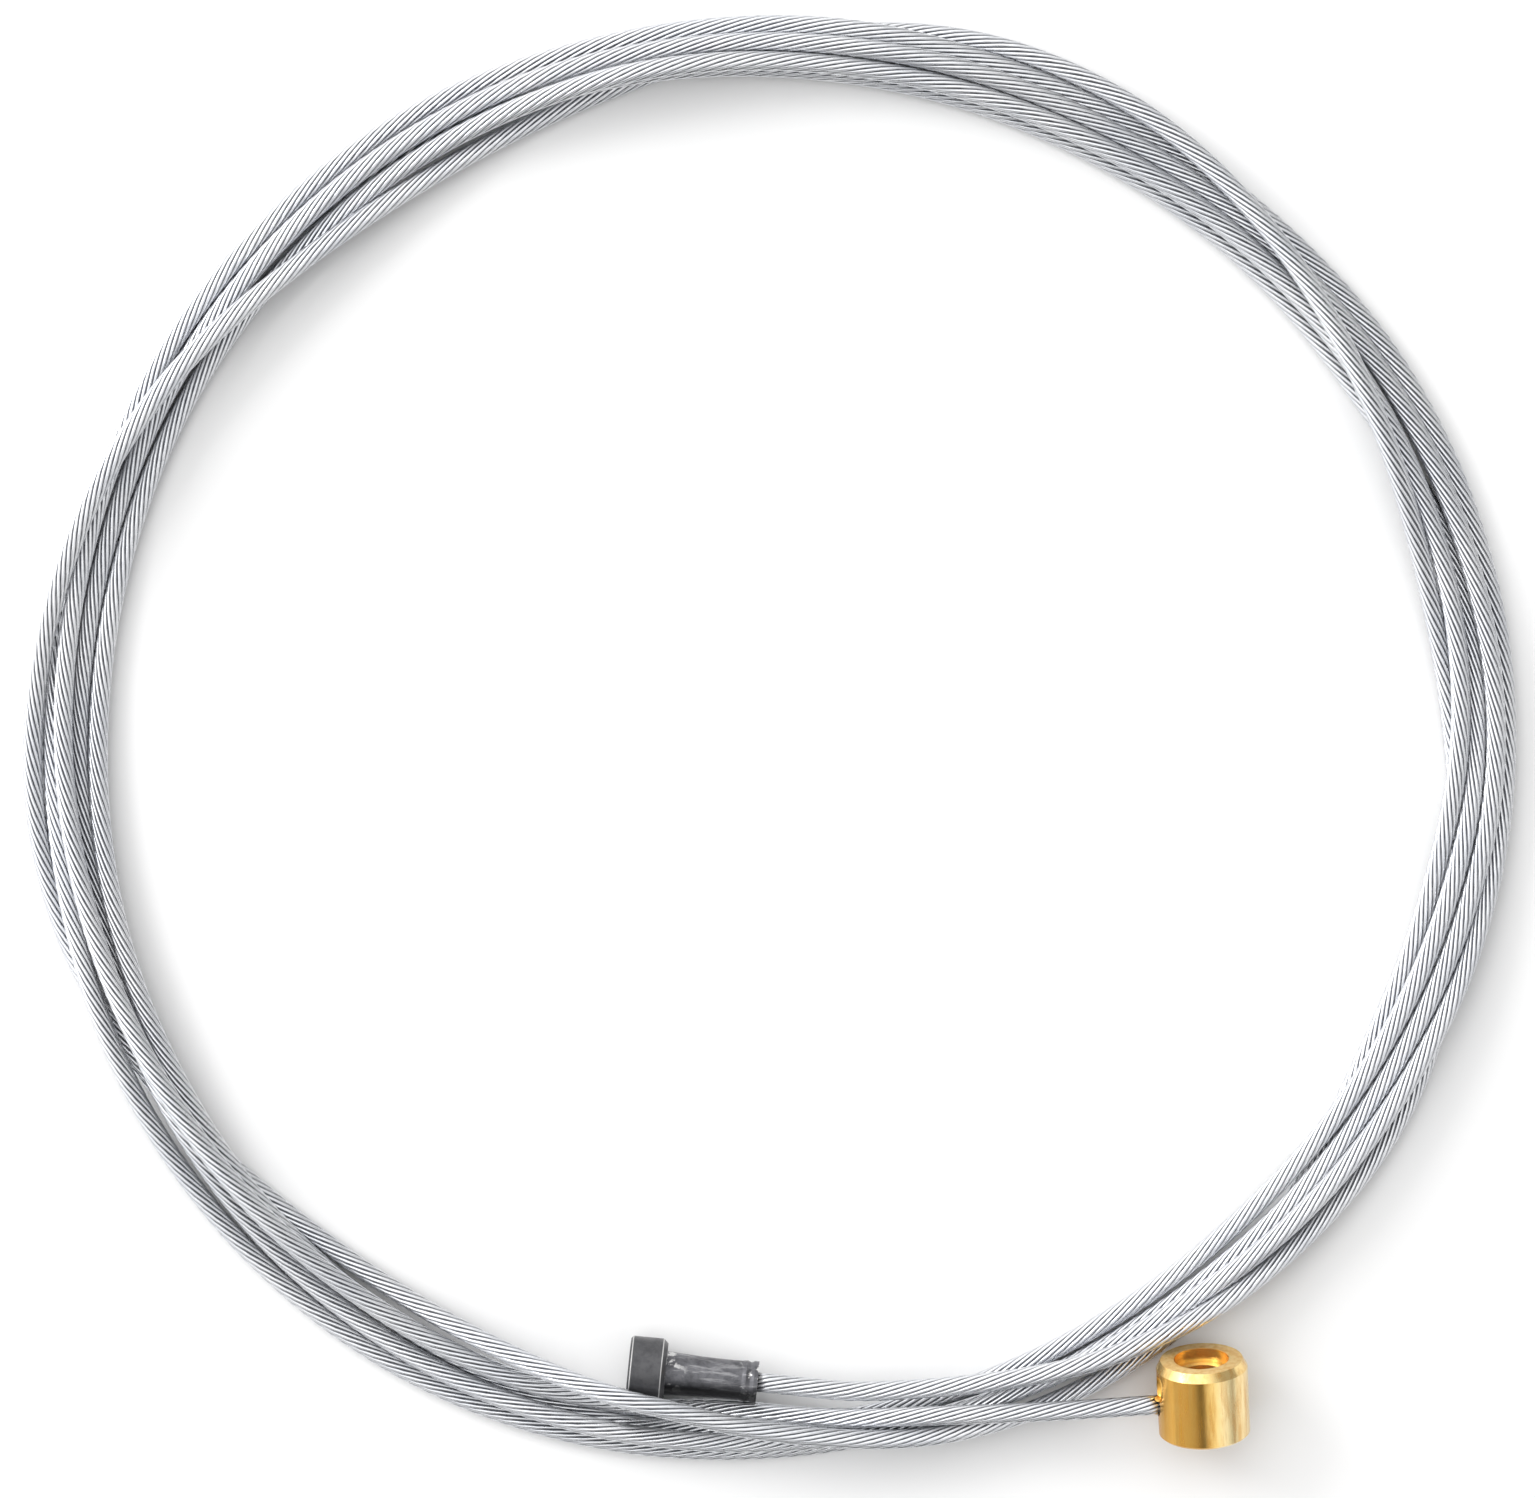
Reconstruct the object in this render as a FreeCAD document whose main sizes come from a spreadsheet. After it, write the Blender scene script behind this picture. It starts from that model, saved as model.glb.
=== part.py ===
"""Coiled wire rope with a brass barrel on one end and a black swaged stud on the other.

The coil lies on the XY plane round the Z axis. The stud lies inside the coil, and the barrel
leans beside it. Millimetres, +Z up, origin at the middle of the coil on the surface it lies on.
Each piece is an object of this document, bound to the Sizes sheet, and is written to parts/.
"""
import FreeCAD, Part
import math
import os
import Sketcher

Vector = FreeCAD.Vector
Placement = FreeCAD.Placement
Rotation = FreeCAD.Rotation
UPRIGHT = Rotation()
Z_TO_X = Rotation(Vector(0, 1, 0), 90)

# Driving dimensions: lengths in millimetres, angles in degrees.
SIZES = {
    # The rope: one core wire, six inner wires and twelve outer wires in left-hand lay.
    "rope_radius": 0.75,
    "wire_radius": 0.14,
    "inner_pitch_radius": 0.3,
    "outer_pitch_radius": 0.6,
    "inner_lay": 9.7,
    "outer_lay": 14.5,
    # The coil of about five turns.
    "coil_inner_radius": 49.3,
    "coil_outer_radius": 55.8,
    "coil_height": 3.1,
    "coil_corner": 1.2,
    "coil_clearance": 0.15,
    # The brass barrel with its stepped bore.
    "barrel_radius": 3.4,
    "barrel_length": 5.9,
    "face_chamfer_radial": 0.35,
    "face_chamfer_axial": 0.65,
    "foot_chamfer": 0.15,
    "counterbore_radius": 2.05,
    "counterbore_depth": 1.1,
    "eye_radius": 1.45,
    "cable_hole_radius": 0.85,
    "cable_hole_height": 2.45,
    "lip_height_up": 4.0,
    "lip_side": 0.8,
    "lip_radial": 0.55,
    "lip_across": 0.8,
    "lip_along": 1.05,
    "barrel_x": 32.1,
    "barrel_y": -48.68,
    "barrel_lean": 3.8,
    "barrel_tilt": 15.2,
    # The black stud: a round head on a waisted shank.
    "head_radius": 2.55,
    "head_length": 2.8,
    "head_chamfer": 0.18,
    "head_rim": 0.34,
    "shank_length": 6.9,
    "shank_root_radius": 1.66,
    "shank_waist_radius": 1.5,
    "shank_end_radius": 1.56,
    "crimp_depth": 0.08,
    "crimp_half_pitch": 0.3,
    "stud_bore_radius": 0.77,
    "stud_bore_depth": 7.6,
    "stud_x": -1.09,
    "stud_y": -47.87,
    "stud_turn": -5.6,
    # The rope inside its two fittings.
    "mouth_set_back": 0.4,
    "solder_skin": 0.2,
    # The free stretches between the coil and the fittings.
    "stud_tail_run": 6.2,
    "stud_tail_turn": 7.5,
    "stud_tail_dip": 1.0,
    "barrel_tail_run": 6.6,
    "barrel_tail_turn": 1.5,
    "barrel_tail_dip": 7.0,
}

doc = FreeCAD.newDocument("cable")
sheet = doc.addObject("Spreadsheet::Sheet", "Sizes")
for row, (alias, value) in enumerate(SIZES.items(), start=1):
    sheet.set(f"A{row}", alias)
    sheet.set(f"B{row}", str(value))
    sheet.setAlias(f"B{row}", alias)
doc.recompute()


def size(alias):
    """The number in the sheet's cell."""
    return float(sheet.get(alias))


def bound(expression):
    """The expression with each alias in it pointing at the sheet."""
    words = expression.split(" ")
    return " ".join("Sizes." + word if word in SIZES else word for word in words)


def total(expression):
    """The number that aliases and numbers add up to, with a sign between each two."""
    answer, sign = 0.0, 1
    for word in expression.split(" "):
        if word in ("+", "-"):
            sign = 1 if word == "+" else -1
        else:
            answer += sign * (size(word) if word in SIZES else float(word))
    return answer


def add(kind, name, placement=None, **expressions):
    """A document object whose properties follow expressions of the sheet's aliases."""
    made = doc.addObject(kind, name)
    if placement is not None:
        made.Placement = placement
    for prop, expression in expressions.items():
        made.setExpression(prop, bound(expression))
    return made


def cylinder(name, placement, radius, height):
    """A cylinder whose radius and height are expressions."""
    return add("Part::Cylinder", name, placement, Radius=radius, Height=height)


def cone(name, placement, foot, top, height):
    """A cone whose two radii and height are expressions."""
    return add("Part::Cone", name, placement, Radius1=foot, Radius2=top, Height=height)


def circle(name, height, radius):
    """A circle about Z at a height, with an expression for its radius."""
    return add("Part::Circle", name, moved(z=height), Radius=radius)


def boolean(kind, name, base, tool):
    """A Part::Cut or Part::Fuse of two objects."""
    made = doc.addObject(kind, name)
    made.Base = base
    made.Tool = tool
    return made


def turned(name, outline):
    """A body turned about Z from an outline of (radius, height) expressions, all above zero."""
    body = doc.addObject("PartDesign::Body", name)
    sketch = body.newObject("Sketcher::SketchObject", name + "_outline")
    planes = body.Origin.OriginFeatures
    sketch.AttachmentSupport = [next(p for p in planes if p.Role == "XZ_Plane")]
    sketch.MapMode = "FlatFace"
    corners = [Vector(total(radius), total(height), 0) for radius, height in outline]
    count = len(corners)
    for i in range(count):
        sketch.addGeometry(Part.LineSegment(corners[i], corners[(i + 1) % count]), False)
    for i in range(count):
        sketch.addConstraint(Sketcher.Constraint("Coincident", i, 2, (i + 1) % count, 1))
    for i, (radius, height) in enumerate(outline):
        for kind, expression in (("DistanceX", radius), ("DistanceY", height)):
            rule = Sketcher.Constraint(kind, -1, 1, i, 1, total(expression))
            at = sketch.addConstraint(rule)
            sketch.setExpression(f"Constraints[{at}]", bound(expression))
    turn = body.newObject("PartDesign::Revolution", name + "_turn")
    turn.Profile = sketch
    turn.ReferenceAxis = (sketch, ["V_Axis"])
    turn.Angle = 360
    return body


def moved(x=0.0, y=0.0, z=0.0, rotation=UPRIGHT):
    """A placement at a point, with an optional rotation."""
    return Placement(Vector(x, y, z), rotation)


# The fittings' own frames. The barrel's Z runs out of its counterbored face and its X towards
# the rope. The stud's Z runs out of its shank's end along the rope.
lean, tilt = math.radians(size("barrel_lean")), math.radians(size("barrel_tilt"))
rope_side = Vector(-math.cos(lean), -math.sin(lean), 0)
level_axis = Vector(-math.sin(lean), math.cos(lean), 0)
barrel_axis = level_axis * math.cos(tilt) + Vector(0, 0, math.sin(tilt))
# The barrel stands on the lower corner between its chamfer and its side.
barrel_drop = (size("barrel_length") / 2 - size("foot_chamfer")) * math.sin(tilt)
barrel_height = barrel_drop + size("barrel_radius") * math.cos(tilt)
barrel_turn = Rotation(rope_side, barrel_axis.cross(rope_side), barrel_axis, "ZXY")
barrel_middle = Vector(size("barrel_x"), size("barrel_y"), barrel_height)
barrel_place = Placement(barrel_middle - barrel_axis * (size("barrel_length") / 2), barrel_turn)
# The stud's head rests on the surface.
stud_turn = Rotation(Vector(0, 0, 1), size("stud_turn")) * Z_TO_X
stud_place = Placement(Vector(size("stud_x"), size("stud_y"), size("head_radius")), stud_turn)
# The rope's own frame in the barrel: Z out of the cable hole, from the barrel's axis.
hole_place = barrel_place * moved(z=size("cable_hole_height"), rotation=Z_TO_X)
pieces = {}


def keep(name, piece, placement=None):
    """Labels a finished piece, so that it is written to parts/NAME.step."""
    if placement is not None:
        piece.Placement = placement
    piece.Label = name
    pieces[name] = piece


def make_barrel():
    """The turned brass barrel, its cable hole and the lip that is staked over the rope."""
    top = "barrel_length"
    body = turned("barrel_body", [
        ("eye_radius", "0"),
        ("barrel_radius - foot_chamfer", "0"),
        ("barrel_radius", "foot_chamfer"),
        ("barrel_radius", top + " - face_chamfer_axial"),
        ("barrel_radius - face_chamfer_radial", top),
        ("counterbore_radius", top),
        ("counterbore_radius", top + " - counterbore_depth"),
        ("eye_radius", top + " - counterbore_depth"),
    ])
    lip = add("Part::Ellipsoid", "lip")
    lip.Placement = moved(size("barrel_radius"), size("lip_side"), size("lip_height_up"))
    radii = ("lip_along", "lip_radial", "lip_across")
    for prop, radius in zip(("Radius1", "Radius2", "Radius3"), radii):
        lip.setExpression(prop, bound(radius))
    hole_at = moved(z=size("cable_hole_height"), rotation=Z_TO_X)
    hole = cylinder("cable_hole", hole_at, "cable_hole_radius", "barrel_radius + lip_radial + 1")
    staked = boolean("Part::Fuse", "staked_barrel", body, lip)
    keep("barrel", boolean("Part::Cut", "drilled_barrel", staked, hole), barrel_place)


def make_solder():
    """The solder that fills the cable hole round the rope and skins over its cut end."""
    plug_height = "barrel_radius - mouth_set_back / 2"
    plug = cylinder("plug", hole_place, "cable_hole_radius", plug_height)
    eye = cylinder("eye_bore", barrel_place, "eye_radius", "barrel_length")
    socket_at = hole_place * moved(z=total("eye_radius + solder_skin"))
    socket = cylinder("rope_socket", socket_at, "stud_bore_radius", "barrel_radius")
    trimmed = boolean("Part::Cut", "trimmed_plug", plug, eye)
    keep("solder", boolean("Part::Cut", "bored_plug", trimmed, socket))


def make_stud():
    """The black stud: a chamfered head and a waisted shank with crimp rings, bored for the rope."""
    small = "head_radius - head_chamfer"
    head_at = moved(z=-total("head_length + shank_length"))
    bottom = cone("head_bottom", head_at, small, "head_radius", "head_chamfer")
    drum_at = moved(z=-total("head_length + shank_length - head_chamfer"))
    drum_length = "head_length - head_chamfer - head_rim"
    drum = cylinder("head_drum", drum_at, "head_radius", drum_length)
    top_at = moved(z=-total("shank_length + head_rim"))
    top = cone("head_top", top_at, "head_radius", "head_radius - head_rim", "head_rim")
    # The crimped collar at the shank's end, whose section zigzags between ridge and furrow.
    step = "crimp_half_pitch"
    furrow = "shank_end_radius - crimp_depth"
    inside = "stud_bore_radius - wire_radius"
    collar_length = " + ".join([step] * 4)
    collar = turned("collar", [
        (inside, "0"),
        (furrow, "0"),
        ("shank_end_radius", step),
        (furrow, " + ".join([step] * 2)),
        ("shank_end_radius", " + ".join([step] * 3)),
        ("shank_end_radius", collar_length),
        (inside, collar_length),
    ])
    collar.Placement = moved(z=-total(collar_length))
    shank = doc.addObject("Part::Loft", "waisted_shank")
    shank.Sections = [
        circle("shank_root", -size("shank_length"), "shank_root_radius"),
        circle("shank_waist", -total("shank_length + " + collar_length) / 2, "shank_waist_radius"),
        circle("shank_neck", -total(collar_length), furrow),
    ]
    shank.Solid = True
    blank = doc.addObject("Part::MultiFuse", "stud_blank")
    blank.Shapes = [bottom, drum, top, shank, collar]
    bore_at = moved(z=-size("stud_bore_depth"))
    bore = cylinder("stud_bore", bore_at, "stud_bore_radius", "stud_bore_depth + 1")
    keep("stud", boolean("Part::Cut", "bored_stud", blank, bore), stud_place)


def make_coil():
    """The outer shape of the coiled turns, hollowed where the stud and the barrel lie."""
    body = turned("coil_body", [
        ("coil_inner_radius", "0"),
        ("coil_outer_radius", "0"),
        ("coil_outer_radius", "coil_height"),
        ("coil_inner_radius", "coil_height"),
    ])
    doc.recompute()
    ring = body.Tip
    edges = enumerate(ring.Shape.Edges, start=1)
    rims = [f"Edge{i}" for i, edge in edges if isinstance(edge.Curve, Part.Circle)]
    rounding = body.newObject("PartDesign::Fillet", "coil_rounding")
    rounding.Base = (ring, rims)
    rounding.setExpression("Radius", bound("coil_corner"))
    stud_long = "head_length + shank_length + coil_clearance"
    stud_room_at = stud_place * moved(z=-total(stud_long))
    stud_room = cylinder("stud_room", stud_room_at, "head_radius + coil_clearance", stud_long)
    barrel_long = "barrel_length + coil_clearance + coil_clearance"
    barrel_room_at = barrel_place * moved(z=-size("coil_clearance"))
    barrel_wide = "barrel_radius + coil_clearance"
    barrel_room = cylinder("barrel_room", barrel_room_at, barrel_wide, barrel_long)
    rooms = boolean("Part::Fuse", "rooms", stud_room, barrel_room)
    keep("coil", boolean("Part::Cut", "fitted_coil", body, rooms))
    return pieces["coil"]


def run_points(start, heading, runs):
    """The points of a route: each run is (length, turn left in degrees, dip in degrees)."""
    points = [start]
    for length, turn, dip in runs:
        heading = Rotation(Vector(0, 0, 1), turn).multVec(heading)
        flat = Vector(heading.x, heading.y, 0).normalize()
        heading = flat * math.cos(math.radians(dip)) - Vector(0, 0, math.sin(math.radians(dip)))
        points.append(points[-1] + heading * length)
    return points


def tube(name, points):
    """A rope's tube: straight runs joined by tangent arcs, as large as the runs allow."""
    edges, here = [], points[0]
    for before, corner, after in zip(points, points[1:], points[2:]):
        back, ahead = (before - corner).normalize(), (after - corner).normalize()
        run = min((before - corner).Length, (after - corner).Length)
        half_turn = (math.pi - back.getAngle(ahead)) / 2
        reach = 0.45 * run
        radius = reach / math.tan(half_turn)
        inward = (back + ahead).normalize()
        nearest = corner + inward * (radius / math.cos(half_turn) - radius)
        start, end = corner + back * reach, corner + ahead * reach
        edges += [Part.LineSegment(here, start).toShape(), Part.Arc(start, nearest, end).toShape()]
        here = end
        print(f"{name}: arc radius {radius:.1f} mm")
    edges.append(Part.LineSegment(here, points[-1]).toShape())
    path = Part.Wire(edges)
    ring = Part.makeCircle(size("rope_radius"), points[0], points[1] - points[0])
    shape = path.makePipeShell([Part.Wire(ring)], True, True)
    share = shape.Volume / (math.pi * size("rope_radius") ** 2 * path.Length)
    print(f"{name}: length {path.Length:.2f} mm, volume share {share:.4f}")
    made = doc.addObject("Part::Feature", name)
    made.Shape = shape
    return made


def make_tails(coil):
    """The rope's free stretches, from each fitting's mouth to where it goes into the coil."""
    back = -size("mouth_set_back")
    run, turn, dip = size("stud_tail_run"), size("stud_tail_turn"), size("stud_tail_dip")
    start = stud_place.multVec(Vector(0, 0, back))
    along = stud_place.Rotation.multVec(Vector(0, 0, 1))
    route = run_points(start, along, [(run, 0, 0), (run, turn, dip), (run, turn, dip)])
    stud_tail = tube("stud_tail_tube", route)
    keep("stud_tail", boolean("Part::Cut", "cut_stud_tail", stud_tail, coil))
    run, turn, dip = size("barrel_tail_run"), size("barrel_tail_turn"), size("barrel_tail_dip")
    start = hole_place.multVec(Vector(0, 0, size("barrel_radius") + back))
    route = run_points(start, rope_side, [(run, 0, 0), (run, -turn, dip), (run, -turn, dip)])
    barrel_tail = tube("barrel_tail_tube", route)
    keep("barrel_tail", boolean("Part::Cut", "cut_barrel_tail", barrel_tail, coil))


def rope_stretch(name, place, pitch_radius, lay, angle, height):
    """One wire's stretch inside a fitting: straight on the axis, and elsewhere a left-hand helix."""
    turned_place = place * moved(rotation=Rotation(Vector(0, 0, 1), angle))
    if pitch_radius is None:
        return cylinder(name, turned_place, "wire_radius", height)
    axis = add("Part::Helix", name + "_axis", turned_place)
    for prop, expression in (("Radius", pitch_radius), ("Pitch", lay), ("Height", height)):
        axis.setExpression(prop, bound(expression))
    axis.LocalCoord = "Left-handed"
    ring_at = turned_place * moved(x=size(pitch_radius))
    ring = add("Part::Circle", name + "_ring", ring_at, Radius="wire_radius")
    sweep = doc.addObject("Part::Sweep", name)
    sweep.Sections = [ring]
    sweep.Spine = (axis, ["Edge1"])
    sweep.Solid = True
    sweep.Frenet = True
    return sweep


def make_wires():
    """The nineteen wires of the rope, each with its stretch in the stud and in the barrel."""
    stud_start = stud_place * moved(z=-size("stud_bore_depth"))
    stud_height = "stud_bore_depth - mouth_set_back"
    barrel_start = hole_place * moved(z=total("eye_radius + solder_skin"))
    barrel_height = "barrel_radius - eye_radius - solder_skin - mouth_set_back"
    layers = [
        ("core_wire", 1, None, None),
        ("inner_wire", 6, "inner_pitch_radius", "inner_lay"),
        ("outer_wire", 12, "outer_pitch_radius", "outer_lay"),
    ]
    for layer, count, pitch_radius, lay in layers:
        for i in range(count):
            name = layer if count == 1 else f"{layer}_{i + 1:02d}"
            laid = (pitch_radius, lay, 360.0 * i / count)
            in_stud = rope_stretch(name + "_in_stud", stud_start, *laid, stud_height)
            in_barrel = rope_stretch(name + "_in_barrel", barrel_start, *laid, barrel_height)
            pair = doc.addObject("Part::Compound", name + "_ends")
            pair.Links = [in_stud, in_barrel]
            keep(name, pair)


make_barrel()
make_solder()
make_stud()
doc.recompute()
finished_coil = make_coil()
doc.recompute()
make_tails(finished_coil)
make_wires()
doc.recompute()

for thing in doc.Objects:
    if "Invalid" in thing.State or "Error" in thing.State:
        raise RuntimeError(f"{thing.Label} failed: {thing.State}")
for name, piece in pieces.items():
    if piece.Shape.isNull() or not piece.Shape.isValid() or piece.Shape.Volume <= 0:
        raise RuntimeError(f"{name} has no valid shape")
os.makedirs("parts", exist_ok=True)
for name, piece in pieces.items():
    piece.Shape.exportStep(f"parts/{name}.step")
    box = piece.Shape.BoundBox
    solids, volume = len(piece.Shape.Solids), piece.Shape.Volume
    print(f"{name}: {solids} solids, {volume:.3f} mm3, z {box.ZMin:.3f} to {box.ZMax:.3f}")
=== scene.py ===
"""A coiled wire rope with a brass barrel and a black stud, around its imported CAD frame.

The rope's route is a chain of points round the ring. LANES holds the radius and height that
each turn was seen at, and settled() lets the turns sink onto each other and onto the surface.
"""
import math

import bpy
import numpy as np
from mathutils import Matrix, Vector


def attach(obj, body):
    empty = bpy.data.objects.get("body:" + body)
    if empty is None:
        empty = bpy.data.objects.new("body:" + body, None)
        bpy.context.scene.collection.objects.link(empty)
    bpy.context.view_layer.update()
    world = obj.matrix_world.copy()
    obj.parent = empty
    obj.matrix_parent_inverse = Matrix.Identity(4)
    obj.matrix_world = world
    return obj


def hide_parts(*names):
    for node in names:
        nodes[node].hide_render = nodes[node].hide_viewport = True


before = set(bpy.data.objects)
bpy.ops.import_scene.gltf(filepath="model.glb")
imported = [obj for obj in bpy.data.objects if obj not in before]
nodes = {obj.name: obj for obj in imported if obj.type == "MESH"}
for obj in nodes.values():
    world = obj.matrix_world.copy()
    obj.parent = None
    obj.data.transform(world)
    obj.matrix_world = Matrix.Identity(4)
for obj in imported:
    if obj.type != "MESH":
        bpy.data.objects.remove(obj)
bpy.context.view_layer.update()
MM = 0.001

# The rope, in millimetres: twelve outer wires in left-hand lay, as in the CAD. They are drawn a
# little thicker than there, so that they meet.
DIAMETER = 1.5
OUTER_WIRES = 12
LAY = 14.5
WIRE_RADIUS = 0.155
PITCH_RADIUS = DIAMETER / 2 - WIRE_RADIUS

# The fittings' frames, in millimetres and degrees, as in the CAD.
BARREL_X, BARREL_Y = 32.1, -48.68
BARREL_LENGTH, BARREL_RADIUS, CABLE_HOLE_HEIGHT = 5.9, 3.4, 2.45
FOOT_CHAMFER, FACE_CHAMFER_WIDTH, FACE_CHAMFER_HEIGHT = 0.15, 0.35, 0.65
COUNTERBORE_RADIUS, COUNTERBORE_DEPTH = 2.05, 1.1
BARREL_LEAN, BARREL_TILT = math.radians(3.8), math.radians(15.2)
HEAD_RADIUS, HEAD_LENGTH, HEAD_CHAMFER, HEAD_RIM = 2.55, 2.8, 0.18, 0.34
SHANK_RADIUS, SHANK_LENGTH = 1.6, 6.9
STUD_MOUTH = np.array([-1.09, -47.87, HEAD_RADIUS])
STUD_TURN = math.radians(-5.6)

# How far inside the fittings the rope's route starts and ends, how far in front of the stud its
# next point is, and how far in front of the barrel its last two are, in millimetres.
MOUTH_SET_BACK = 0.4
STUD_RUN_OUT = 2.5
BARREL_RUN_IN = (6.2, 3)

# The camera looks straight down from this far above the rope's top, and the frame is this wide
# there. A strand that lies higher looks further from the middle than it is. The middle of the
# picture is at VIEW_X and VIEW_Y.
VIEW_DISTANCE, VIEW_WIDTH = 383.7, 115.1
VIEW_X, VIEW_Y = -0.34, -0.525

stud_axis = np.array([math.cos(STUD_TURN), math.sin(STUD_TURN), 0.0])
rope_side = -np.array([math.cos(BARREL_LEAN), math.sin(BARREL_LEAN), 0.0])
level_axis = np.array([-math.sin(BARREL_LEAN), math.cos(BARREL_LEAN), 0.0])
barrel_axis = level_axis * math.cos(BARREL_TILT) + np.array([0, 0, math.sin(BARREL_TILT)])
barrel_rise = (BARREL_LENGTH / 2 - FOOT_CHAMFER) * math.sin(BARREL_TILT)
barrel_rise += BARREL_RADIUS * math.cos(BARREL_TILT)
barrel_middle = np.array([BARREL_X, BARREL_Y, barrel_rise])
barrel_foot = barrel_middle - barrel_axis * BARREL_LENGTH / 2
barrel_mouth = barrel_foot + barrel_axis * CABLE_HOLE_HEIGHT + rope_side * BARREL_RADIUS

# Each turn as it was read: its radius in millimetres and the height of its middle in
# rope diameters, every LANE_STEP degrees, anticlockwise from the bottom of the ring. Some
# stations of the fourth turn were then moved a little, so that it settles where it is
# seen.
LANES = [
    (48.3, 1.6), (50.0, 1.8), (52.7, 2.4), (54.4, 1.9), (54.9, 1.0), (53.1, 0.5),
    (51.1, 0.5), (50.5, 0.6), (51.7, 2.2), (53.5, 2.4), (54.9, 1.6), (54.6, 0.6),
    (52.5, 0.5), (50.4, 0.5), (49.6, 0.5), (50.6, 1.6), (52.9, 2.3), (54.6, 2.2),
    (55.4, 1.5), (54.9, 0.8), (52.7, 0.5), (50.6, 0.5), (49.8, 1.2), (50.4, 3.3),
    # Second turn
    (51.7, 2.6), (53.5, 1.6), (53.6, 0.5), (52.5, 0.5), (50.5, 0.5), (50.5, 0.5),
    (51.6, 1.2), (52.0, 1.4), (52.0, 1.4), (51.6, 1.4), (51.1, 1.4), (51.0, 1.4),
    (51.0, 1.4), (51.1, 1.3), (51.1, 0.9), (51.0, 0.6), (50.9, 0.7), (50.7, 1.0),
    (50.7, 1.2), (51.1, 1.5), (51.6, 2.1), (51.7, 1.1), (51.6, 0.5), (51.4, 0.5),
    # Third turn
    (51.0, 0.5), (50.5, 0.5), (50.1, 0.5), (50.1, 0.5), (50.9, 1.2), (51.9, 1.3),
    (52.9, 0.9), (52.9, 0.5), (51.2, 0.5), (50.7, 0.5), (50.3, 0.5), (50.3, 0.5),
    (50.5, 0.5), (51.1, 0.5), (51.9, 0.5), (52.7, 0.5), (53.5, 0.5), (54.1, 0.5),
    (54.1, 0.6), (54.2, 1.2), (54.7, 1.4), (54.9, 1.4), (54.7, 1.4), (53.9, 0.6),
    # Fourth turn
    (53.0, 0.5), (52.2, 0.5), (51.7, 0.5), (51.8, 0.6), (52.4, 1.0), (53.4, 1.4),
    (54.2, 1.5), (54.1, 1.5), (53.8, 1.7), (53.2, 1.9), (52.75, 2.0), (52.65, 2.1),
    (52.65, 2.0), (52.6, 1.6), (52.7, 1.2), (52.6, 1.2), (52.4, 1.0), (52.0, 0.6),
    (51.9, 0.5), (52.0, 0.8), (52.6, 1.4), (53.2, 1.0), (53.3, 1.0), (53.1, 1.6),
    # Fifth turn, which ends in the barrel
    (52.5, 1.4), (52.1, 1.4), (52.1, 1.4), (52.9, 1.4), (53.9, 1.6), (54.8, 1.2),
    (55.1, 0.7), (55.0, 0.6), (54.7, 0.6), (54.0, 0.6), (53.6, 0.7), (53.6, 1.5),
    (53.7, 1.5), (53.9, 1.4), (54.3, 1.3), (54.1, 1.3), (53.9, 1.4), (53.5, 1.3),
    (53.2, 1.4), (52.9, 1.9), (52.6, 2.9), (52.0, 2.1), (51.4, 1.4), (51.0, 1.0),
    (50.6, 1.4), (52.1, 2.4), (57.2, 2.55),
]
LANE_STEP = 15
FIRST_STATION = 270

# Where a turn leaves its lane between two of the stations above: how far round it is in degrees
# from the first station, how many millimetres it moves outwards, and half the width of the
# place in degrees.
NUDGES = [(352, -0.28, 5), (1793, -1.3, 10)]

# How the turns settle. They have a point every STEP degrees, and sink by SINK millimetres in
# each of the sinking rounds. In every round they are pushed apart PUSHES times.
STEP = 3
PER_TURN = 360 // STEP
SETTLE_ROUNDS, SINKING_ROUNDS, PUSHES = 600, 480, 4
SINK = 0.012

# How many points at each end of the rope a fitting holds at its own height. The route has the
# fitting's own points in their place.
HELD_BY_STUD, HELD_BY_BARREL = 2, 4

# Turns that are seen nearer to each other than this many diameters cross, and others lie side
# by side.
CROSSING = 0.72

# What is left of a sideways shift after a round, and how strongly a strand straightens and
# smooths its heights.
SHIFT_KEPT, STRAIGHTEN, SMOOTH = 0.985, 0.12, 0.05

# The room that the turns leave round the stud, in millimetres: off its head and its shank, and
# along its axis past the head's end, the shoulder and the mouth.
HEAD_ROOM, SHANK_ROOM = 0.15, 0.03
PAST_HEAD, PAST_SHOULDER, PAST_MOUTH = 0.6, 0.5, 0.3

# A turn that is seen more than OVER_STUD millimetres above the stud's axis is lifted off the
# stud. It slides aside by a small share of what it overlaps, and the other turns by half of it.
OVER_STUD, SLIDE_OVER, SLIDE_BESIDE = 1, 0.1, 0.5

# Where the points of a wire's outline are, in degrees from the direction that leads out of the
# rope, and how deep in a groove each of them is, from 0 to 1.
WIRE_OUTLINE = [-86, -46, 0, 46, 86]
# The rope's material darkens each point by this depth, as painted shade.
GROOVE_DEPTH = [1.0, 0.35, 0.0, 0.35, 1.0]
RINGS_PER_LAY = 12

# The key lamp's place and size in metres, and its power.
KEY_PLACE = (-0.56, 0.36, 0.38)
KEY_SIZE = 0.3
KEY_WATTS = 2.5

# The tent's brightest direction, with its brightness far from there and near it, and the
# direction of a second, smaller glow with what that adds.
GLOW_TOWARDS, WORLD_LOW, WORLD_HIGH = (-0.62, 0.5, 0.5), 0.36, 2.1
FILL_TOWARDS, FILL = (0.5, -0.42, 0.72), 0.75

# The tent's gap: how far left of the middle it is, and what share of the light it takes away.
GAP_LEFT, GAP_DARKNESS = 0.1, 0.85


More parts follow.
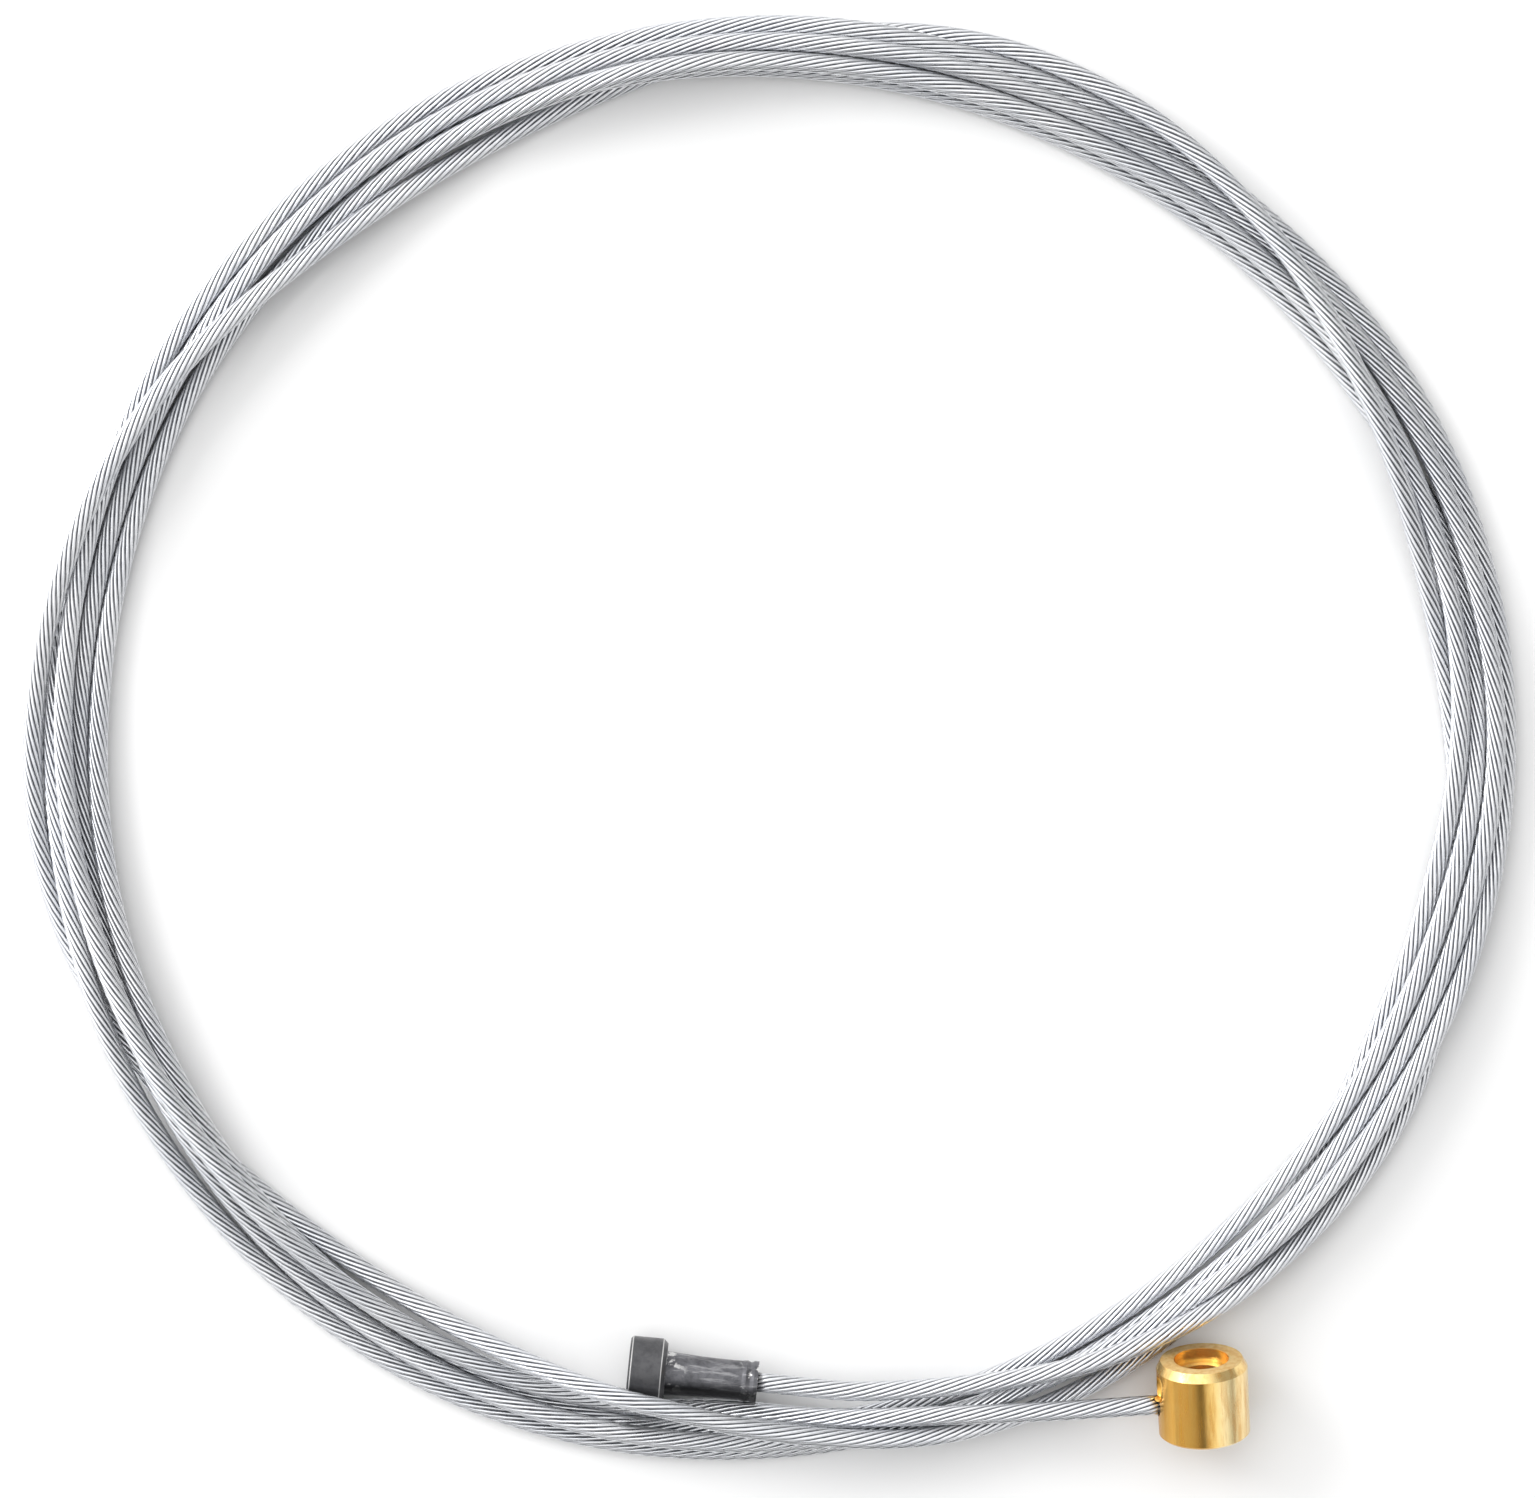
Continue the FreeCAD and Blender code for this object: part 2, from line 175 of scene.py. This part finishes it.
def between(values, parts):
    """The values with smooth steps between them, parts steps for each."""
    ends = 2 * values[0] - values[1], 2 * values[-1] - values[-2]
    padded = np.concatenate([[ends[0]], values, [ends[1]]])
    before, here, after, beyond = (padded[i:len(padded) - 3 + i, None] for i in range(4))
    way = (np.arange(parts) / parts)[None, :]
    bend = 2 * before - 5 * here + 4 * after - beyond
    twist = 3 * here - 3 * after + beyond - before
    rows = 0.5 * (2 * here + (after - before) * way + bend * way ** 2 + twist * way ** 3)
    return np.append(rows.ravel(), values[-1])


def stud_beside(angles):
    """For each angle, how far out the stud's axis lies (nan where it doesn't) and its radius."""
    away = np.full(len(angles), np.nan)
    thick = np.zeros(len(angles))
    for i, angle in enumerate(angles):
        out = np.array([math.cos(angle), math.sin(angle)])
        lines = np.column_stack([stud_axis[:2], -out])
        along, distance = np.linalg.solve(lines, -STUD_MOUTH[:2])
        if distance > 0 and -SHANK_LENGTH - HEAD_LENGTH - PAST_HEAD < along < PAST_MOUTH:
            away[i] = distance
            at_head = along < PAST_SHOULDER - SHANK_LENGTH
            thick[i] = HEAD_RADIUS + HEAD_ROOM if at_head else SHANK_RADIUS + SHANK_ROOM
    return away, thick


def turn_pairs(seen_height):
    """The points that lie one or more whole turns apart, and which of the two is seen on top."""
    count = len(seen_height)
    pairs = []
    for turns in range(1, (count - 1) // PER_TURN + 1):
        first = np.arange(count - turns * PER_TURN)
        second = first + turns * PER_TURN
        pairs.append((first, second, np.sign(seen_height[second] - seen_height[first])))
    return pairs


def even_out(height):
    """Make the heights a little straighter and smoother."""
    middle = 0.5 * (height[:-2] + height[2:])
    height[1:-1] += STRAIGHTEN * (middle - height[1:-1])
    wave = height[:-4] - 4 * height[1:-3] + 6 * height[2:-2] - 4 * height[3:-1] + height[4:]
    height[2:-2] -= SMOOTH * wave


def part_from_stud(radius, height, beside, away, thick, sideways):
    """Push the points that are too near the stud's axis up and aside."""
    across, up = radius[beside] - away, height[beside] - STUD_MOUTH[2]
    distance = np.hypot(across, up)
    overlap = np.maximum(thick + DIAMETER / 2 - distance, 0)
    radius[beside] += sideways * overlap * across / distance
    height[beside] += overlap * up / distance


def part_turns(radius, height, seen_radius, slope, pair):
    """Push two turns off each other: up and down where they cross, and otherwise apart."""
    first, second, order = pair
    square = 1 / np.sqrt(1 + (0.5 * (slope[first] + slope[second])) ** 2)
    across = (radius[second] - radius[first]) * square
    up = height[second] - height[first]
    seen_apart = abs(seen_radius[second] - seen_radius[first]) * square
    crossing = seen_apart < CROSSING * DIAMETER
    needed = np.sqrt(np.maximum(DIAMETER ** 2 - across ** 2, 0))
    lift = np.where(crossing, np.maximum(needed - order * up, 0), 0)
    lift[abs(across) >= DIAMETER] = 0
    distance = np.maximum(np.hypot(across, up), 1e-6)
    overlap = np.where(~crossing, np.maximum(DIAMETER - distance, 0), 0)
    rise = 0.5 * order * lift + 0.5 * overlap * up / distance
    slide = 0.25 * overlap * across / distance / square
    height[second] += rise
    height[first] -= rise
    radius[second] += slide
    radius[first] -= slide


def settled(seen_radius, seen_height, angles):
    """The turns after they have sunk as far as the surface, the stud and each other let them."""
    radius, height = seen_radius.copy(), seen_height.copy()
    pairs = turn_pairs(seen_height)
    away, thick = stud_beside(angles)
    beside = np.where(~np.isnan(away))[0]
    over = seen_height[beside] > STUD_MOUTH[2] + OVER_STUD
    sideways = np.where(over, SLIDE_OVER, SLIDE_BESIDE)
    stud = beside, away[beside], thick[beside], sideways
    for step in range(SETTLE_ROUNDS):
        slope = np.gradient(radius, math.radians(STEP)) / radius
        if step < SINKING_ROUNDS:
            height -= SINK
        shift = radius - seen_radius
        shift[1:-1] = 0.25 * shift[:-2] + 0.5 * shift[1:-1] + 0.25 * shift[2:]
        radius = seen_radius + SHIFT_KEPT * shift
        even_out(height)
        for _ in range(PUSHES):
            for pair in pairs:
                part_turns(radius, height, seen_radius, slope, pair)
            part_from_stud(radius, height, *stud)
            height[:] = np.maximum(height, DIAMETER / 2)
            height[:HELD_BY_STUD] = STUD_MOUTH[2]
            height[-HELD_BY_BARREL:] = barrel_mouth[2]
    return radius, height


def rope_route():
    """The rope's control points, from just inside the stud to just inside the barrel."""
    seen = np.array(LANES)
    radius = between(seen[:, 0], LANE_STEP // STEP)
    height = between(seen[:, 1] * DIAMETER, LANE_STEP // STEP)
    for at, out, width in NUDGES:
        radius += out * np.exp(-((STEP * np.arange(len(radius)) - at) / width) ** 2)
    radius *= 1 - (height - DIAMETER) / VIEW_DISTANCE
    angles = np.radians(FIRST_STATION + STEP * np.arange(len(radius)))
    radius, height = settled(radius, height, angles)
    ring = np.column_stack([radius * np.cos(angles), radius * np.sin(angles), height])
    free = ring[HELD_BY_STUD:-HELD_BY_BARREL]
    inside_stud = STUD_MOUTH - stud_axis * MOUTH_SET_BACK
    inside_barrel = barrel_mouth - rope_side * MOUTH_SET_BACK
    start = [inside_stud, STUD_MOUTH + stud_axis * STUD_RUN_OUT]
    end = [barrel_mouth + rope_side * distance for distance in BARREL_RUN_IN]
    return np.concatenate([start, free, end, [inside_barrel]]) * MM


def spline_points(name, points):
    """Points along the smooth line that has the given control points."""
    curve = bpy.data.curves.new(name, "CURVE")
    curve.dimensions = "3D"
    curve.resolution_u = 4
    spline = curve.splines.new("NURBS")
    spline.points.add(len(points) - 1)
    for at, point in zip(spline.points, points):
        at.co = (*point, 1)
    spline.order_u = 3
    spline.use_endpoint_u = True
    thing = bpy.data.objects.new(name, curve)
    bpy.context.scene.collection.objects.link(thing)
    bpy.context.view_layer.update()
    evaluated = thing.evaluated_get(bpy.context.evaluated_depsgraph_get())
    mesh = bpy.data.meshes.new_from_object(evaluated)
    line = np.array([v.co[:] for v in mesh.vertices])
    bpy.data.objects.remove(thing)
    bpy.data.curves.remove(curve)
    bpy.data.meshes.remove(mesh)
    return line


def evenly(line, spacing):
    """The line again with evenly spaced points, and how far along it each of them is."""
    run = np.append(0, np.cumsum(np.linalg.norm(np.diff(line, axis=0), axis=1)))
    at = np.linspace(0, run[-1], int(run[-1] / spacing) + 1)
    return np.column_stack([np.interp(at, run, line[:, i]) for i in range(3)]), at


def carried_frames(line):
    """For each point, its direction and two square to it that don't twist along the line."""
    ahead = np.gradient(line, axis=0)
    ahead /= np.linalg.norm(ahead, axis=1)[:, None]
    side = np.cross(ahead[0], (0, 0, 1))
    sides = []
    for direction in ahead:
        side = side - direction * side.dot(direction)
        side /= np.linalg.norm(side)
        sides.append(side)
    sides = np.array(sides)
    return ahead, sides, np.cross(ahead, sides)


def rope_outline():
    """The rope's section in metres: a closed line over the outside of its outer wires."""
    around = np.radians(WIRE_OUTLINE)
    at = np.arange(OUTER_WIRES)[:, None] * 2 * math.pi / OUTER_WIRES
    x = PITCH_RADIUS * np.cos(at) + WIRE_RADIUS * np.cos(at + around)
    y = PITCH_RADIUS * np.sin(at) + WIRE_RADIUS * np.sin(at + around)
    return x.ravel() * MM, y.ravel() * MM


def mark_grooves(mesh, rings, around):
    """Say how deep in a groove each point is, and make the bottom of each groove a sharp edge."""
    groove = mesh.attributes.new("groove", "FLOAT", "POINT")
    depth = np.tile(GROOVE_DEPTH, OUTER_WIRES)
    groove.data.foreach_set("value", np.tile(depth, rings))
    ends = np.zeros(len(mesh.edges) * 2, dtype=np.int32)
    mesh.edges.foreach_get("vertices", ends)
    ends = ends.reshape(-1, 2)
    per_wire = len(WIRE_OUTLINE)
    valley = np.isin(ends % around % per_wire, (0, per_wire - 1)).all(axis=1)
    along = abs(ends[:, 0] - ends[:, 1]) == around
    sharp = mesh.attributes.new("sharp_edge", "BOOLEAN", "EDGE")
    sharp.data.foreach_set("value", valley & along)


def make_rope(line):
    """The rope's outer wires as one closed mesh whose section is a ring of wires."""
    line, run = evenly(line, LAY * MM / RINGS_PER_LAY)
    _, sides, ups = carried_frames(line)
    x, y = rope_outline()
    turn = -2 * math.pi * run / (LAY * MM)
    cosine, sine = np.cos(turn)[:, None], np.sin(turn)[:, None]
    across, up = x * cosine - y * sine, x * sine + y * cosine
    points = line[:, None] + across[..., None] * sides[:, None] + up[..., None] * ups[:, None]
    rings, around = across.shape
    here = np.arange(around)
    beside = np.roll(here, -1)
    first = (np.arange(rings - 1) * around)[:, None]
    after = first + around
    quads = np.stack([first + here, first + beside, after + beside, after + here], -1)
    faces = quads.reshape(-1, 4).tolist()
    faces.append(list(range(around))[::-1])
    faces.append(list(range((rings - 1) * around, rings * around)))
    mesh = bpy.data.meshes.new("rope")
    mesh.from_pydata(points.reshape(-1, 3).tolist(), [], faces)
    mesh.shade_smooth()
    mark_grooves(mesh, rings, around)
    rope = bpy.data.objects.new("rope", mesh)
    bpy.context.scene.collection.objects.link(rope)
    return rope, line


route = rope_route()
rope, rope_line = make_rope(spline_points("rope_route", route))
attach(rope, "root")
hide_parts("coil", "stud_tail", "barrel_tail")


class Nodes:
    """A node tree that is built by short calls."""

    def __init__(self, tree):
        self.tree = tree

    def node(self, kind, inputs=(), output=0, **settings):
        made = self.tree.nodes.new("ShaderNode" + kind)
        for key, value in settings.items():
            setattr(made, key, value)
        for key, value in dict(inputs).items():
            self.feed(made.inputs[key], value)
        return made.outputs[output]

    def feed(self, socket, value):
        if isinstance(value, bpy.types.NodeSocket):
            self.tree.links.new(value, socket)
        else:
            socket.default_value = value

    def math(self, operation, a, b=0.0, c=0.0):
        return self.node("Math", {0: a, 1: b, 2: c}, operation=operation)

    def times(self, first, *others):
        """The product of the given values."""
        product = first
        for other in others:
            product = self.math("MULTIPLY", product, other)
        return product

    def rest(self, share):
        """What a share leaves of the whole."""
        return self.math("SUBTRACT", 1.0, share)

    def vector(self, operation, a, b=(0, 0, 0), output=0):
        return self.node("VectorMath", {0: a, 1: b}, output, operation=operation)

    def ramp(self, value, low, high, to_low=0.0, to_high=1.0, **settings):
        inputs = {0: value, 1: low, 2: high, 3: to_low, 4: to_high}
        return self.node("MapRange", inputs, **settings)


class Shader(Nodes):
    """A material whose look is built by the same short calls."""

    def __init__(self, name):
        self.material = bpy.data.materials.new(name)
        self.material.use_nodes = True
        super().__init__(self.material.node_tree)
        self.bsdf = self.tree.nodes["Principled BSDF"]

    def place(self):
        return self.node("NewGeometry", output="Position")

    def noise(self, vector, scale, detail=3.0, roughness=0.5):
        inputs = {"Vector": vector, "Scale": scale, "Detail": detail, "Roughness": roughness}
        return self.node("TexNoise", inputs)

    def mix(self, share, a, b):
        """The colour b over the colour a, as far as the share says."""
        return self.node("Mix", {0: share, 6: a, 7: b}, 2, data_type="RGBA")

    def bump(self, height, strength, distance):
        inputs = {"Height": height, "Strength": strength, "Distance": distance}
        return self.node("Bump", inputs)

    def set(self, **values):
        for key, value in values.items():
            self.feed(self.bsdf.inputs[key.replace("_", " ")], value)
        return self.material

    def about(self, foot, axis):
        """How far a place is along an axis and away from it, in millimetres, and the same
        place drawn together along the axis, so that noise on it makes streaks."""
        foot = tuple(float(x) * MM for x in foot)
        axis = tuple(float(x) for x in axis)
        from_foot = self.vector("SUBTRACT", self.place(), foot)
        along = self.vector("DOT_PRODUCT", from_foot, axis, 1)
        onto = self.node("VectorMath", {0: axis, "Scale": along}, operation="SCALE")
        off = self.vector("SUBTRACT", from_foot, onto)
        away = self.vector("LENGTH", off, output=1)
        shortened = self.node("VectorMath", {0: onto, "Scale": 0.12}, operation="SCALE")
        drawn = self.vector("ADD", off, shortened)
        return self.times(along, 1 / MM), self.times(away, 1 / MM), drawn


def colour(r, g, b):
    """A colour given as it looks on a screen, from 0 to 255."""
    linear = [((c / 255 + 0.055) / 1.055) ** 2.4 if c > 10 else c / 255 / 12.92 for c in (r, g, b)]
    return (*linear, 1.0)


def rope_steel():
    """Bright drawn wire, with painted shade in its grooves and faint patches along the rope."""
    shader = Shader("rope_steel")
    groove = shader.node("Attribute", output="Fac", attribute_name="groove")
    patches = shader.noise(shader.place(), 180.0, 3.0)
    fine = shader.noise(shader.place(), 2600.0, 3.0, 0.6)
    patchy = shader.ramp(patches, 0.35, 0.65)
    base = shader.mix(patchy, colour(251, 252, 254), colour(238, 240, 244))
    base = shader.mix(shader.ramp(fine, 0.35, 0.75, 0.0, 0.25), base, colour(186, 188, 196))
    # Painted shade: the grooves between the wires are darkened by their depth.
    base = shader.mix(shader.times(groove, 0.95), base, colour(38, 42, 54))
    rough = shader.ramp(fine, 0.3, 0.7, 0.24, 0.38)
    shader.set(Base_Color=base, Metallic=1.0, Roughness=rough)
    return shader.set(Normal=shader.bump(fine, 0.15, 0.00002))


def wire_steel():
    """The bare wires inside the fittings."""
    shader = Shader("wire_steel")
    fine = shader.noise(shader.place(), 2600.0, 3.0, 0.6)
    base = shader.mix(fine, colour(226, 227, 230), colour(176, 176, 182))
    rough = shader.ramp(fine, 0.3, 0.7, 0.26, 0.42)
    return shader.set(Base_Color=base, Metallic=1.0, Roughness=rough)


def solder_grey():
    """Dull solder with a grainy skin."""
    shader = Shader("solder_grey")
    fine = shader.noise(shader.place(), 1500.0, 4.0, 0.6)
    base = shader.mix(fine, colour(215, 213, 208), colour(150, 146, 138))
    rough = shader.ramp(fine, 0.3, 0.7, 0.35, 0.55)
    shader.set(Base_Color=base, Metallic=1.0, Roughness=rough)
    return shader.set(Normal=shader.bump(fine, 0.5, 0.00005))


def turned_brass():
    """Streaky brass, tool rings in its bore, and painted shade and highlights on its surfaces."""
    shader = Shader("turned_brass")
    along, away, drawn = shader.about(barrel_foot, barrel_axis)
    across = shader.about(barrel_foot, rope_side)[0]
    tool = shader.noise(shader.node("CombineXYZ", {0: along, 1: away}), 7.0, 4.0, 0.7)
    streak = shader.noise(drawn, 2200.0, 4.0, 0.6)
    patches = shader.noise(shader.place(), 500.0, 3.0)

    # The barrel's surfaces, each as a share that is 1 on it and 0 off it.
    bore = shader.ramp(away, COUNTERBORE_RADIUS + 0.05, COUNTERBORE_RADIUS - 0.02)
    outside = shader.rest(bore)
    ledge_height = BARREL_LENGTH - COUNTERBORE_DEPTH
    ledge_rim = COUNTERBORE_RADIUS - 0.02
    ledge = shader.ramp(along, ledge_height - 0.08, ledge_height - 0.02)
    ledge = shader.times(shader.ramp(away, ledge_rim, ledge_rim - 0.05), ledge)
    wall_top = BARREL_LENGTH - FACE_CHAMFER_HEIGHT
    above_wall = shader.ramp(along, wall_top - 0.02, wall_top + 0.03)
    face_rim = BARREL_RADIUS - FACE_CHAMFER_WIDTH
    outer = shader.ramp(away, face_rim - 0.03, face_rim + 0.03)
    chamfer = shader.times(above_wall, outer)
    wall = shader.times(outer, shader.rest(above_wall))
    face = shader.ramp(along, BARREL_LENGTH - 0.08, BARREL_LENGTH - 0.04)
    face = shader.times(face, shader.rest(outer), outside)

    patchy = shader.ramp(patches, 0.3, 0.7)
    base = shader.mix(patchy, colour(252, 218, 142), colour(240, 198, 112))
    base = shader.mix(shader.times(bore, 0.5), base, colour(250, 206, 120))
    rings = shader.times(bore, shader.ramp(tool, 0.48, 0.58, 0.0, 0.45))
    base = shader.mix(rings, base, colour(176, 98, 14))
    # Painted highlights on the ledge and chamfer, and a painted reflection that lightens the face.
    base = shader.mix(shader.times(ledge, 0.7), base, colour(255, 244, 205))
    base = shader.mix(shader.times(chamfer, 0.15), base, colour(255, 244, 212))
    base = shader.mix(shader.times(face, 0.8), base, colour(238, 206, 146))
    # Painted shade on the wall's rope side, and a painted highlight on its other side.
    wall_shade = shader.times(wall, shader.ramp(across, -0.6, 0.4, 0.0, 0.75))
    base = shader.mix(wall_shade, base, colour(200, 146, 56))
    pale = shader.times(wall, shader.ramp(across, -0.5, -1.3, 0.0, 0.75))
    base = shader.mix(pale, base, colour(255, 236, 184))
    streaks = shader.times(outside, shader.ramp(streak, 0.44, 0.66, 0.0, 0.55))
    base = shader.mix(streaks, base, colour(206, 144, 52))

    grain = shader.mix(bore, streak, tool)
    rough = shader.ramp(grain, 0.3, 0.7, 0.16, 0.3)
    rough = shader.math("MULTIPLY_ADD", face, 0.25, rough)
    metal = shader.math("MULTIPLY_ADD", face, -0.25, 0.88)
    shader.set(Base_Color=base, Metallic=metal, Roughness=rough)
    return shader.set(Normal=shader.bump(grain, 0.3, 0.00003))


def black_steel():
    """Black oxide scuffed at the shank's ends, with painted rim highlights and painted shade
    below.
    """
    shader = Shader("black_steel")
    along, away, drawn = shader.about(STUD_MOUTH, stud_axis)
    cloud = shader.noise(shader.place(), 900.0, 5.0, 0.7)
    scuff = shader.noise(drawn, 1500.0, 5.0, 0.7)
    blotch = shader.noise(shader.place(), 1300.0, 4.0, 0.65)
    shoulder = -SHANK_LENGTH
    shank = shader.ramp(along, shoulder - 0.05, shoulder + 0.05)
    base = shader.mix(shank, colour(84, 84, 86), colour(106, 106, 110))
    base = shader.mix(shader.ramp(cloud, 0.42, 0.62, 0.0, 0.6), base, colour(58, 58, 62))
    scuffed = shader.times(shank, shader.ramp(scuff, 0.55, 0.62, 0.0, 0.5))
    base = shader.mix(scuffed, base, colour(168, 168, 170))

    # Bare metal at both ends of the shank, and painted highlights on each rim of the head's drum.
    near_head = shader.ramp(along, shoulder + 1.7, shoulder + 0.5)
    near_end = shader.ramp(along, -1.5, -0.9)
    ends = shader.times(shank, shader.math("MAXIMUM", near_head, near_end))
    wear_and_highlight = shader.times(ends, shader.ramp(blotch, 0.54, 0.58))
    outer_rim = shoulder - HEAD_LENGTH + HEAD_CHAMFER
    inner_rim = shoulder - HEAD_RIM
    past_outer_rim = shader.ramp(along, outer_rim + 0.06, outer_rim)
    past_inner_rim = shader.ramp(along, inner_rim - 0.06, inner_rim)
    rim_highlight = shader.math("MAXIMUM", past_outer_rim, past_inner_rim)
    rim_highlight = shader.times(rim_highlight, shader.ramp(away, HEAD_RADIUS - 0.06, HEAD_RADIUS - 0.02))
    wear_and_highlight = shader.math("MAXIMUM", wear_and_highlight, shader.times(rim_highlight, shader.rest(shank)))
    base = shader.mix(shader.times(wear_and_highlight, 0.8), base, colour(224, 223, 222))

    # Painted shade: the side of the shank that faces the bottom of the picture is darkened.
    facing = shader.node("SeparateXYZ", {0: shader.node("NewGeometry", output="Normal")}, 1)
    low_side_shade = shader.times(shader.ramp(facing, -0.15, -0.52), shank)
    base = shader.mix(shader.times(low_side_shade, 0.92), base, colour(16, 16, 18))
    rough = shader.ramp(cloud, 0.3, 0.7, 0.3, 0.48)
    shader.set(Base_Color=base, Metallic=0.7, Roughness=rough)
    return shader.set(Normal=shader.bump(cloud, 0.45, 0.00006))


def paint(thing, material):
    """Give a thing this one material."""
    thing.data.materials.clear()
    thing.data.materials.append(material)


paint(rope, rope_steel())
paint(nodes["barrel"], turned_brass())
paint(nodes["solder"], solder_grey())
paint(nodes["stud"], black_steel())
bare_wire = wire_steel()
for name, node in nodes.items():
    if "_wire" in name:
        paint(node, bare_wire)


def make_floor():
    """A plain pale floor, far wider than the view."""
    half = 2.5
    mesh = bpy.data.meshes.new("floor")
    corners = [(-half, -half, 0), (half, -half, 0), (half, half, 0), (-half, half, 0)]
    mesh.from_pydata(corners, [], [(0, 1, 2, 3)])
    floor = bpy.data.objects.new("floor", mesh)
    bpy.context.scene.collection.objects.link(floor)
    shader = Shader("floor_white")
    grain = shader.noise(shader.place(), 60.0)
    white = shader.mix(grain, (0.83, 0.83, 0.83, 1), (0.85, 0.85, 0.85, 1))
    paint(floor, shader.set(Base_Color=white, Roughness=0.9, Specular_IOR_Level=0.1))


def make_light():
    """A white tent that glows at the upper left and has a gap at the lower side, and a lamp."""
    world = bpy.data.worlds.new("studio")
    world.use_nodes = True
    bpy.context.scene.world = world
    tent = Nodes(world.node_tree)
    sky = tent.node("TexCoord")

    def smooth(value, *ends):
        return tent.ramp(value, *ends, interpolation_type="SMOOTHSTEP")

    def nearness(direction):
        """How near the sky's direction is to the given one: 1 in it and less away from it."""
        return tent.vector("DOT_PRODUCT", sky, tuple(Vector(direction).normalized()), 1)

    glow = smooth(nearness(GLOW_TOWARDS), 0.1, 0.98, WORLD_LOW, WORLD_HIGH)
    fill = smooth(nearness(FILL_TOWARDS), 0.72, 0.97, 0.0, FILL)
    off_gap = tent.math("ADD", tent.node("SeparateXYZ", {0: sky}, 0), GAP_LEFT)
    gap = smooth(tent.math("ABSOLUTE", off_gap), 0.08, 0.2, 1.0, 0.0)
    near = smooth(tent.node("SeparateXYZ", {0: sky}, 1), -0.2, -0.4, 0.0, 1.0)
    kept = tent.math("MULTIPLY_ADD", tent.times(gap, near), -GAP_DARKNESS, 1.0)
    strength = tent.times(tent.math("ADD", glow, fill), kept)
    background = tent.tree.nodes["Background"]
    tent.feed(background.inputs["Strength"], strength)
    tent.feed(background.inputs["Color"], (1, 1, 1, 1))
    lamp = bpy.data.lights.new("key", "AREA")
    lamp.size = KEY_SIZE
    lamp.energy = KEY_WATTS
    key = bpy.data.objects.new("key", lamp)
    key.location = KEY_PLACE
    key.rotation_euler = (-key.location).to_track_quat("-Z", "Y").to_euler()
    bpy.context.scene.collection.objects.link(key)


def make_camera():
    """Straight down from far off, with the ring's top edge to the top of the picture."""
    sensor = 36.0
    camera = bpy.data.cameras.new("camera")
    camera.lens = sensor * VIEW_DISTANCE / VIEW_WIDTH
    camera.sensor_width = sensor
    camera.clip_start = 0.01
    thing = bpy.data.objects.new("camera", camera)
    thing.location = (VIEW_X * MM, VIEW_Y * MM, (VIEW_DISTANCE + DIAMETER) * MM)
    bpy.context.scene.collection.objects.link(thing)
    bpy.context.scene.camera = thing


make_floor()
make_light()
make_camera()
bpy.context.scene.view_settings.view_transform = "Standard"
